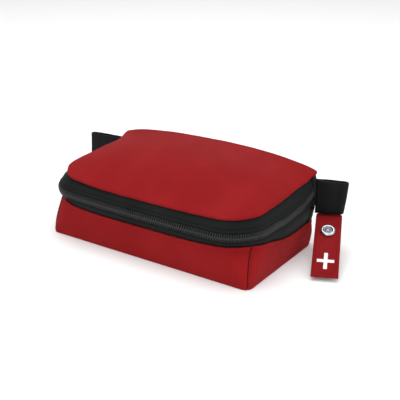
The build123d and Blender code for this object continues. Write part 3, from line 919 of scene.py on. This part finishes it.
def loop_line(reach):
    """The webbing's centre line seen from above: out along one layer, round, back along the other."""
    line = [(-0.6, -0.56), (0.8, -0.6), (LOOP_ROOTED, -0.75), (LOOP_ROOTED + 1.6, -1.35)]
    line += [(x, -LOOP_HALF - 0.12 * sin(x)) for x in steps(LOOP_ROOTED + 3.2, reach - 3.0, 1.4)]
    turn = [radians(a) for a in range(-75, 76, 15)]
    end = reach - LOOP_HALF - LOOP_THICK / 2
    line += [(end + LOOP_HALF * cos(a), LOOP_HALF * sin(a)) for a in turn]
    back = [(x, -y) for x, y in line[: -len(turn)]]
    return line + list(reversed(back))


def loop_ring(p, ahead, out, share, top, bottom, slant):
    """The webbing's section at one point of its centre line; the loop's end leans by slant."""
    levels = [(bottom, 0.5), (bottom + 0.35, 1.0), (bottom + 2.2, 0.92), ((top + bottom) / 2, 0.96),
              (top - 2.2, 0.92), (top - 0.35, 1.0), (top, 0.5)]
    levels += [(z, -o) for z, o in reversed(levels)]
    ring = []
    for z, o in levels:
        shift = slant * share ** 3 * ((top - z) / (top - bottom)) ** 1.5
        ring.append(Vector((*(p - ahead * shift + out * (LOOP_THICK / 2) * o), z)))
    return ring


def build_loop(name, side, reach, turn, slant):
    """Webbing folded double, its two layers sewn together at the root."""
    node = name + "_end_loop"
    low, high = [corner.z for corner in box_mm(node)]
    start = Vector((side * (HALF + BULGE + 0.5), BACK_Y - 0.6))
    ahead = Vector((side * cos(turn), sin(turn)))
    left = Vector((-ahead.y, ahead.x)) * side
    line = [start + ahead * x + left * y for x, y in loop_line(reach)]
    rings = []
    for k, p in enumerate(line):
        along = heading(line, k)
        share = min(1.0, ((p - start).dot(ahead)) / reach)
        top = high - 0.9 * share + 0.15 * ripple(k * 0.2, 0, 21)
        out = Vector((along.y, -along.x))
        rings.append(loop_ring(p, ahead, out, share, top, low + 0.5 * share, slant))
    finish_piece(sweep(name + "_loop_webbing", rings, WEBBING), "pouch", "webbing", node)
    bars = []
    for offset in (0.7, 2.1):
        for face in (-1, 1):
            stand = 0.56 + LOOP_THICK / 2 + 0.1 + 0.06 * offset
            base = start + ahead * offset + left * face * stand
            out = Vector((*(left * face), 0))
            column = [(Vector((*base, z)), out) for z in (low + 1.2, high - 1.6)]
            bars.append(stitches("bar", column, BLACK_THREAD, 1.7, 0.7, 0.15))
    finish_piece(join(name + "_loop_webbing_stitches", bars), "pouch", "webbing")


# ---- strap ----
STRAP_WIDE = Vector(JOINTS["strap_swing"]["axis"]).normalized() * -1
HALF_STRAP = 1.4          # from the strap's middle to a leaf's outer face
CROSS_FROM_HINGE = middle_mm("strap_cross") - HINGE
CROSS_RISE = asin((HALF_STRAP + 0.1) / CROSS_FROM_HINGE.length)
STRAP_UP = -CROSS_FROM_HINGE.normalized()
STRAP_OUT = STRAP_WIDE.cross(STRAP_UP).normalized()
STRAP_OUT = STRAP_OUT * cos(CROSS_RISE) - STRAP_UP * sin(CROSS_RISE)
STRAP_UP = STRAP_OUT.cross(STRAP_WIDE).normalized()
LEAF = 0.8                # thickness of a leaf
STRAP_LENGTH = (HINGE.z - HALF_STRAP * STRAP_OUT.z - 0.15) / STRAP_UP.z
STUD_DOWN = -((middle_mm("stud_ring") - HINGE).dot(STRAP_UP))
CROSS_END = 39.5          # the front leaf bends down to the rear one after the plus sign
STRAP_DROOP = 1.0         # by how much it has bent at its end
FRONT_SEWN = STRAP_LENGTH - 1.5      # each leaf's length once its end is hemmed
REAR_SEWN = FRONT_SEWN - 3.5

HEM = 2.2                 # width of the hem across a leaf's end

# Half of a leaf's section: distance from its middle and height of its hemmed edge.
LEAF_SECTION = [(0, -0.05), (2.5, -0.05), (4.9, -0.04), (5.2, 0.1), (5.7, 0.12), (6.5, 0.1),
                (6.9, -0.08), (7.0, -0.45)]


def on_strap(across, down, height):
    return HINGE + STRAP_WIDE * across - STRAP_UP * down + STRAP_OUT * height


def droop(down, facing):
    """How far a leaf has bent towards the other one; only the front leaf (facing 1) does."""
    bent = smooth((down - CROSS_END) / (STRAP_LENGTH - CROSS_END))
    return STRAP_DROOP * bent if facing > 0 else 0.0


def leaf_ring(down, end, facing):
    """Section across a leaf at a distance from its end, where the hem lifts it."""
    lift = 0.12 if end < HEM else 0.0
    if abs(end - HEM - 0.15) < 0.2:
        lift = -0.04
    section = [(-x, h) for x, h in LEAF_SECTION[:0:-1]] + LEAF_SECTION
    outer = [(x, HALF_STRAP + (max(h, lift) if h > -0.4 else h)) for x, h in section]
    back = [(x, HALF_STRAP - (LEAF - 0.1)) for x in (6.9, 3.5, 0, -3.5, -6.9)]
    return [on_strap(x, down, facing * h - droop(down, facing)) for x, h in outer + back]


def build_leaf(name, length, facing, node):
    """One leaf of the strap. facing is 1 when its outer face looks up and -1 when it looks down."""
    stations = steps(1.2, length - 3.0, 1.2) + [length - d for d in (2.5, 2.1, 1.2, 0.4, 0.1)]
    piece = sweep(name, [leaf_ring(down, length - down, facing) for down in stations], STRAP_RED)
    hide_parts(node)
    return piece


def build_strap_fold():
    """The fold at the top that joins the two leaves."""
    outer = [(x, 1.3, 1.33 if abs(x) < 6.9 else 1.05) for x in (-7.0, -6.6, -3.3, 0, 3.3, 6.6, 7.0)]
    section = outer + [(x, 0.65, 0.6) for x in (6.6, 3.3, 0, -3.3, -6.6)]
    rings = []
    for turn in [radians(a) for a in range(-100, 101, 20)]:
        rings.append([on_strap(x, 1.1 - up * cos(turn), thick * sin(turn)) for x, up, thick in section])
    finish_piece(sweep("strap_fold_cloth", rings, STRAP_RED), "strap", "strap_fabric")


def sew_leaf(facing, body, length):
    """Thread along both long edges of a leaf and across its end."""
    def row(places, bar, gap):
        face = facing * (HALF_STRAP + 0.1)
        line = [(on_strap(x, d, face - droop(d, facing)), STRAP_OUT * facing) for x, d in places]
        return stitches("row", line, THREAD, bar, gap, 0.12)

    rows = [row([(x, d) for d in steps(5.2, length - 2.4, 2.0)], 1.7, 0.8) for x in (-5.45, 5.45)]
    rows.append(row([(x, length - 1.9) for x in (-6.0, 6.0)], 1.5, 0.7))
    finish_piece(join(body + "_stitches", rows), body, "strap_fabric")


def build_strap():
    """Front and rear leaf, the fold that joins them and their stitches."""
    front = build_leaf("strap_front_cloth", FRONT_SEWN, 1, "strap_front_leaf")
    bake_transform(front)
    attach(build_leaf("strap_rear_cloth", REAR_SEWN, -1, "strap_rear_leaf"), "strap")
    build_strap_fold()
    sew_leaf(1, "strap_flap", FRONT_SEWN)
    sew_leaf(-1, "strap", REAR_SEWN)


# The neck's section in shares of its half width, with how far in and how high.
NECK_SECTION = [(-1, 0, 0.1), (-1, 0.3, 0.36), (0, 0, 0.4), (1, -0.3, 0.36), (1, 0, 0.1),
                (1, -0.3, -0.36), (0, 0, -0.4), (-1, 0.3, -0.36)]
NECK_SEWN_HALF, NECK_HALF = 5.0, 6.95      # its half width inside the loop and below it


def build_neck():
    """Strip of strap fabric from between the loop's layers, round its lower edge, to the strap."""
    edge = box_mm("right_end_loop")[0].z
    ahead = Vector((STRAP_WIDE.x, STRAP_WIDE.y, 0)).normalized()
    forward = Vector((ahead.y, -ahead.x, 0))
    anchor = middle_mm("strap_anchor")
    middle = Vector((HINGE.x, HINGE.y, 0))
    depth = (middle - Vector((anchor.x, anchor.y, 0))).dot(forward)
    route = [(0.0, 7.5), (0.0, 3), (0.0, 0.6), (0.35, -0.7), (depth * 0.35, -1.5), (depth * 0.7, -1.3),
             (depth, -0.75)]
    spots = [middle - forward * depth + forward * d + Vector((0, 0, edge + z)) for d, z in route]
    spots += [on_strap(0, 1.6, 0.1), on_strap(0, 3.0, 0.0)]
    rings = []
    for k, p in enumerate(spots):
        out = heading(spots, k).cross(ahead).normalized()
        half = NECK_SEWN_HALF if k < 3 else NECK_HALF
        rings.append([p + ahead * (half * share + more) + out * o for share, more, o in NECK_SECTION])
    piece = sweep("strap_neck_cloth", rings, STRAP_RED)
    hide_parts("strap_anchor")
    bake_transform(piece)


# The stud's cap from its edge inwards: radius and height, then the pressed star's share and height.
STUD_PROFILE = [(3.8, 0.0), (3.95, 0.35), (3.85, 0.95), (3.5, 1.45), (3.05, 1.65), (2.6, 1.5),
                (2.35, 1.1), (2.2, 0.85), (1.9, 0.8)]
STUD_STAR = [(1.0, 0.95), (0.75, 1.3), (0.35, 1.45), (0.05, 1.3)]
STUD_AROUND = 60
DISH_ROW = 5              # the profile turns down into its dish after this row


def build_stud():
    """The stud's cap: a rolled bright ring round a dished centre with a five-pointed press mark; the dish
    is rougher metal with painted shade in its colour.
    """
    points, uvs = [], []
    centre = on_strap(0, STUD_DOWN, HALF_STRAP + 0.02)
    rows = STUD_PROFILE + STUD_STAR
    for row, (size, height) in enumerate(rows):
        for turn in turns(STUD_AROUND):
            star = 1.05 + 0.6 * abs(cos(2.5 * turn)) ** 0.7
            radius = size if row < len(STUD_PROFILE) else star * size
            flat = STRAP_WIDE * radius * cos(turn) + STRAP_UP * radius * sin(turn)
            points.append(centre + flat + STRAP_OUT * height)
            uvs.append((turn * 3, radius))
    faces = tube_faces(0, len(rows), STUD_AROUND)
    cap = recalculate(make_mesh("stud_cap_metal", points, faces, CHROME, uvs, [DULL_SHADED_CHROME]))
    underside = len(faces) - 2
    # The dish and its star take the darker metal: painted shade in the dish.
    for face in cap.data.polygons:
        if face.index >= DISH_ROW * STUD_AROUND and face.index != underside:
            face.material_index = 1
    finish_piece(cap, "strap_flap", "stud_metal", "stud_cap")


# ---- scissors handles ----
RING_FROM_END, RING_FROM_SIDE = 13.2, 9.6      # where the finger ring's middle is
RING_LONG, RING_WIDE = 11.4, 7.9               # half length and half width of the ring's bar


def round_section(count, centre, across, wide, high):
    """Points round an oval section that stands on the direction across."""
    return [centre + across * wide * cos(a) + Vector((0, 0, high * sin(a))) for a in turns(count)]


def build_handle(name, node, body):
    """Moulded finger ring with an arm that wraps the blade's tang."""
    low, high = box_mm(node)
    middle = (low + high) / 2
    side = 1 if middle.y > FRONT_Y / 5 - 1.0 else -1
    y = high.y - RING_FROM_SIDE if side > 0 else low.y + RING_FROM_SIDE
    ring_middle = Vector((low.x + RING_FROM_END, y, middle.z))
    rings, arm_rings = [], []
    for turn in turns(40):
        out = Vector((cos(turn), sin(turn), 0))
        centre = ring_middle + Vector((RING_LONG * out.x, RING_WIDE * out.y, 0))
        rings.append(round_section(12, centre, out, 1.75 + 0.25 * out.x, 2.15))
    start = ring_middle + Vector((8.6, -side * 4.8, 0))
    end = Vector((high.x - 0.6, ring_middle.y - side * 6.4, middle.z))
    across = Vector((0, 1, 0))
    for t in [i / 12 for i in range(13)]:
        wide = 3.6 - 1.2 * t + (0.6 if t < 0.2 else 0)
        close = 0.55 if t in (0.0, 1.0) else 1.0
        arm_rings.append(round_section(14, start.lerp(end, t), across, wide * close, 2.2 * close))
    parts = [sweep(name, rings, BLUE, closed=True), sweep("arm", arm_rings, BLUE)]
    finish_piece(join(name, parts), body, "handle_plastic", node)


# ---- packets ----
CRIMP = 2.4               # width of a packet's sealed edge
PLEAT = 0.22              # height of the crimp's pleats
FILM_SQUARE = 1.7         # size of the film's squares
FILM_HALF = 0.06          # half the film's thickness where it lies flat


def packet_mesh(node, fill, material):
    """Two layers of film that share their rim, and the points that the crimped edge seals."""
    low, high = box_mm(node)
    middle, size = (low + high) / 2, high - low
    columns, rows = max(16, round(size.x / FILM_SQUARE)), max(14, round(size.y / FILM_SQUARE))
    points, faces, uvs, sealed, index = [], [], [], [], {}
    spots = [(i, j) for j in range(rows + 1) for i in range(columns + 1)]
    for layer in (-1, 1):
        for i, j in spots:
            if layer > 0 and (i in (0, columns) or j in (0, rows)):
                index[(layer, i, j)] = index[(-1, i, j)]
                continue
            x, y = low.x + size.x * i / columns, low.y + size.y * j / rows
            inset = min(x - low.x, high.x - x, y - low.y, high.y - y)
            full = smooth((inset - CRIMP) / (min(size.x, size.y) * 0.28)) ** 0.6
            pleated = inset < CRIMP - 0.1 and (j < 2 or j > rows - 2)
            zigzag = (PLEAT if i % 2 else -PLEAT) if pleated else 0.0
            if inset < CRIMP:
                sealed.append(len(points))
            index[(layer, i, j)] = len(points)
            rise = max(size.z * 0.5 * fill * full, FILM_HALF)
            points.append(Vector((x, y, middle.z + layer * rise + zigzag)))
            uvs.append((x - low.x, y - low.y))
        for i, j in spots:
            if i < columns and j < rows:
                corners = ((i, j), (i + 1, j), (i + 1, j + 1), (i, j + 1))
                square = [index[(layer, *corner)] for corner in corners]
                faces.append(tuple(square if layer > 0 else reversed(square)))
    return make_mesh(node + "_film", points, faces, material, uvs), sealed


def build_packet(node, fill, pressure, material, slot, seed):
    """A crimped film packet: two layers sealed round the edge and puffed by cloth simulation."""
    low, high = box_mm(node)
    level, half = (low.z + high.z) / 2, (high.z - low.z) / 2
    piece, sealed = packet_mesh(node, fill, material)
    puff(piece, sealed, pressure, (half - 0.1) * MM, level * MM)
    for v in piece.data.vertices:
        x, y, z = v.co / MM
        inset = min(x - low.x, high.x - x, y - low.y, high.y - y)
        swell = 0.25 * ripple(x * 0.16, y * 0.16, seed) * smooth((inset - CRIMP) / 4)
        limit = half - 0.05
        v.co.z = (level + max(-limit, min(limit, z - level + swell))) * MM
    soften = piece.modifiers.new("soften", "SUBSURF")
    soften.levels = 1
    apply_modifiers(piece)
    for face in piece.data.polygons:
        face.use_smooth = True
    finish_piece(piece, "pouch", slot, node)


PUFF_FRAMES = 16


def puff(piece, sealed, pressure, limit, level):
    """Blow a sealed packet up with Blender's cloth solver, and cap how far it swells."""
    scene = bpy.context.scene
    group = piece.vertex_groups.new(name="sealed")
    group.add(sealed, 1.0, "REPLACE")
    before = [v.co.copy() for v in piece.data.vertices]
    cloth = piece.modifiers.new("puff", "CLOTH")
    settings = cloth.settings
    settings.quality = 5
    settings.mass = 0.1
    settings.tension_stiffness = settings.compression_stiffness = 25
    settings.bending_stiffness = 0.3
    settings.use_pressure = True
    settings.uniform_pressure_force = pressure
    settings.vertex_group_mass = "sealed"
    settings.effector_weights.gravity = 0.0
    cloth.collision_settings.use_collision = False
    cloth.point_cache.frame_start = 1
    cloth.point_cache.frame_end = PUFF_FRAMES
    for step in range(1, PUFF_FRAMES + 1):
        scene.frame_set(step)
    apply_modifiers(piece)
    scene.frame_set(1)
    for v, old in zip(piece.data.vertices, before):
        v.co = (old.x, old.y, max(level - limit, min(level + limit, v.co.z)))


def build_packets():
    white = colour(224, 226, 224)
    grey = packet_material("film_grey", colour(150, 158, 162), colour(196, 202, 204), 0.010, 0.030, True)
    large = packet_material("film_white", white, colour(70, 106, 168), 0.020, 0.023, True)
    green = packet_material("film_green", white, colour(52, 140, 92), 0.006, 0.016, True)
    bandage = packet_material("film_bandage", white, colour(46, 88, 160), 0.006, 0.014)
    wipe = packet_material("film_wipe", white, colour(60, 120, 170), 0.004, 0.009)
    packets = (("grey_dressing_packet", 0.5, 2.0, grey, "grey_packet"),
               ("large_dressing_packet", 0.5, 2.0, large, "white_packet"),
               ("green_band_packet", 0.5, 2.0, green, "green_packet"),
               ("bandage_packet_front", 0.85, 4.0, bandage, "bandage_packet"),
               ("bandage_packet_back", 0.85, 4.0, bandage, "bandage_packet"),
               ("wipe_packet_front", 0.35, 1.0, wipe, "white_packet"),
               ("wipe_packet_back", 0.35, 1.0, wipe, "white_packet"))
    for seed, packet in enumerate(packets, 41):
        build_packet(*packet, seed)


# ---- CAD nodes that keep their shape ----
CAD_FINISHES = {
    DARK_METAL: ["slider_body", "slider_crown", "pull_tab", "zip_stops_lower", "zip_stops_upper"],
    CHROME: ["stud_post", "stud_ring", "stud_socket"],
    STEEL: ["fixed_blade", "moving_blade", "scissors_rivet"],
    PRINT: ["strap_cross"],
}


def dress_cad():
    for material, nodes in CAD_FINISHES.items():
        for name in nodes:
            for place in frame["nodes"][name].material_slots:
                place.material = material


# ---- surroundings ----
CAMERA_AT = (0.2414, -0.3373, 0.1890)          # metres
CAMERA_DOWN, CAMERA_AROUND = 21.88, 34.09      # degrees it looks down, and round from the front
FLOOR_HALF = 3000
LIT = Vector((0, 0, 0.02))                     # what the lights point at, in metres


def build_camera():
    data = bpy.data.cameras.new("camera")
    data.lens = 72
    data.sensor_width = 36
    data.clip_start, data.clip_end = 0.01, 20
    camera = add_object("camera", data)
    camera.location = CAMERA_AT
    camera.rotation_euler = (radians(90 - CAMERA_DOWN), 0, radians(CAMERA_AROUND))
    bpy.context.scene.camera = camera


def build_floor():
    corners = ((-1, -1), (1, -1), (1, 1), (-1, 1))
    m = Nodes("floor_paper")
    m.give("Base Color", colour(246, 246, 246))
    m.give("Roughness", 0.9)
    points = [(x * FLOOR_HALF, y * FLOOR_HALF, -0.02) for x, y in corners]
    make_mesh("floor", points, [(0, 1, 2, 3)], m.material)


def build_light(name, place, size, power):
    data = bpy.data.lights.new(name, "AREA")
    data.shape = "DISK"
    data.size = size
    data.energy = power
    light = add_object(name, data)
    light.location = place
    light.rotation_euler = (LIT - Vector(place)).to_track_quat("-Z", "Y").to_euler()


def build_studio():
    build_floor()
    build_light("top_soft", (-0.1, 0.1, 1.1), 1.2, 8)
    build_light("front_soft", (0.3, -1.0, 0.5), 1.0, 3)
    build_light("right_soft", (1.0, -0.1, 0.5), 0.8, 2.5)
    world = bpy.data.worlds.new("studio")
    bpy.context.scene.world = world
    world.use_nodes = True
    world.node_tree.nodes["Background"].inputs[0].default_value = (1, 1, 1, 1)
    world.node_tree.nodes["Background"].inputs[1].default_value = 0.7
    bpy.context.scene.view_settings.view_transform = "Standard"


build_camera()
build_wall("left", 0.0, SEAM_LEFT)
build_wall("front", SEAM_LEFT, SEAM_RIGHT)
build_wall("right", SEAM_RIGHT, ROUND)
build_corner_seam("left_corner_seam", SEAM_LEFT, -1)
build_corner_seam("right_corner_seam", SEAM_RIGHT, 1)
build_bottom()
build_lid()
build_back_wall()
build_tapes()
for zip_side in ZIP_SIDES:
    build_teeth(*zip_side)
build_zip_stitches()
build_bindings()
build_loop("right", 1, RIGHT_REACH, RIGHT_TURN, 2.0)
build_loop("left", -1, LEFT_REACH, 0.0, -1.2)
build_strap()
build_neck()
build_stud()
build_handle("fixed_handle_grip", "fixed_handle", "pouch")
build_handle("moving_handle_grip", "moving_handle", "scissors_half")
build_packets()
dress_cad()
build_studio()
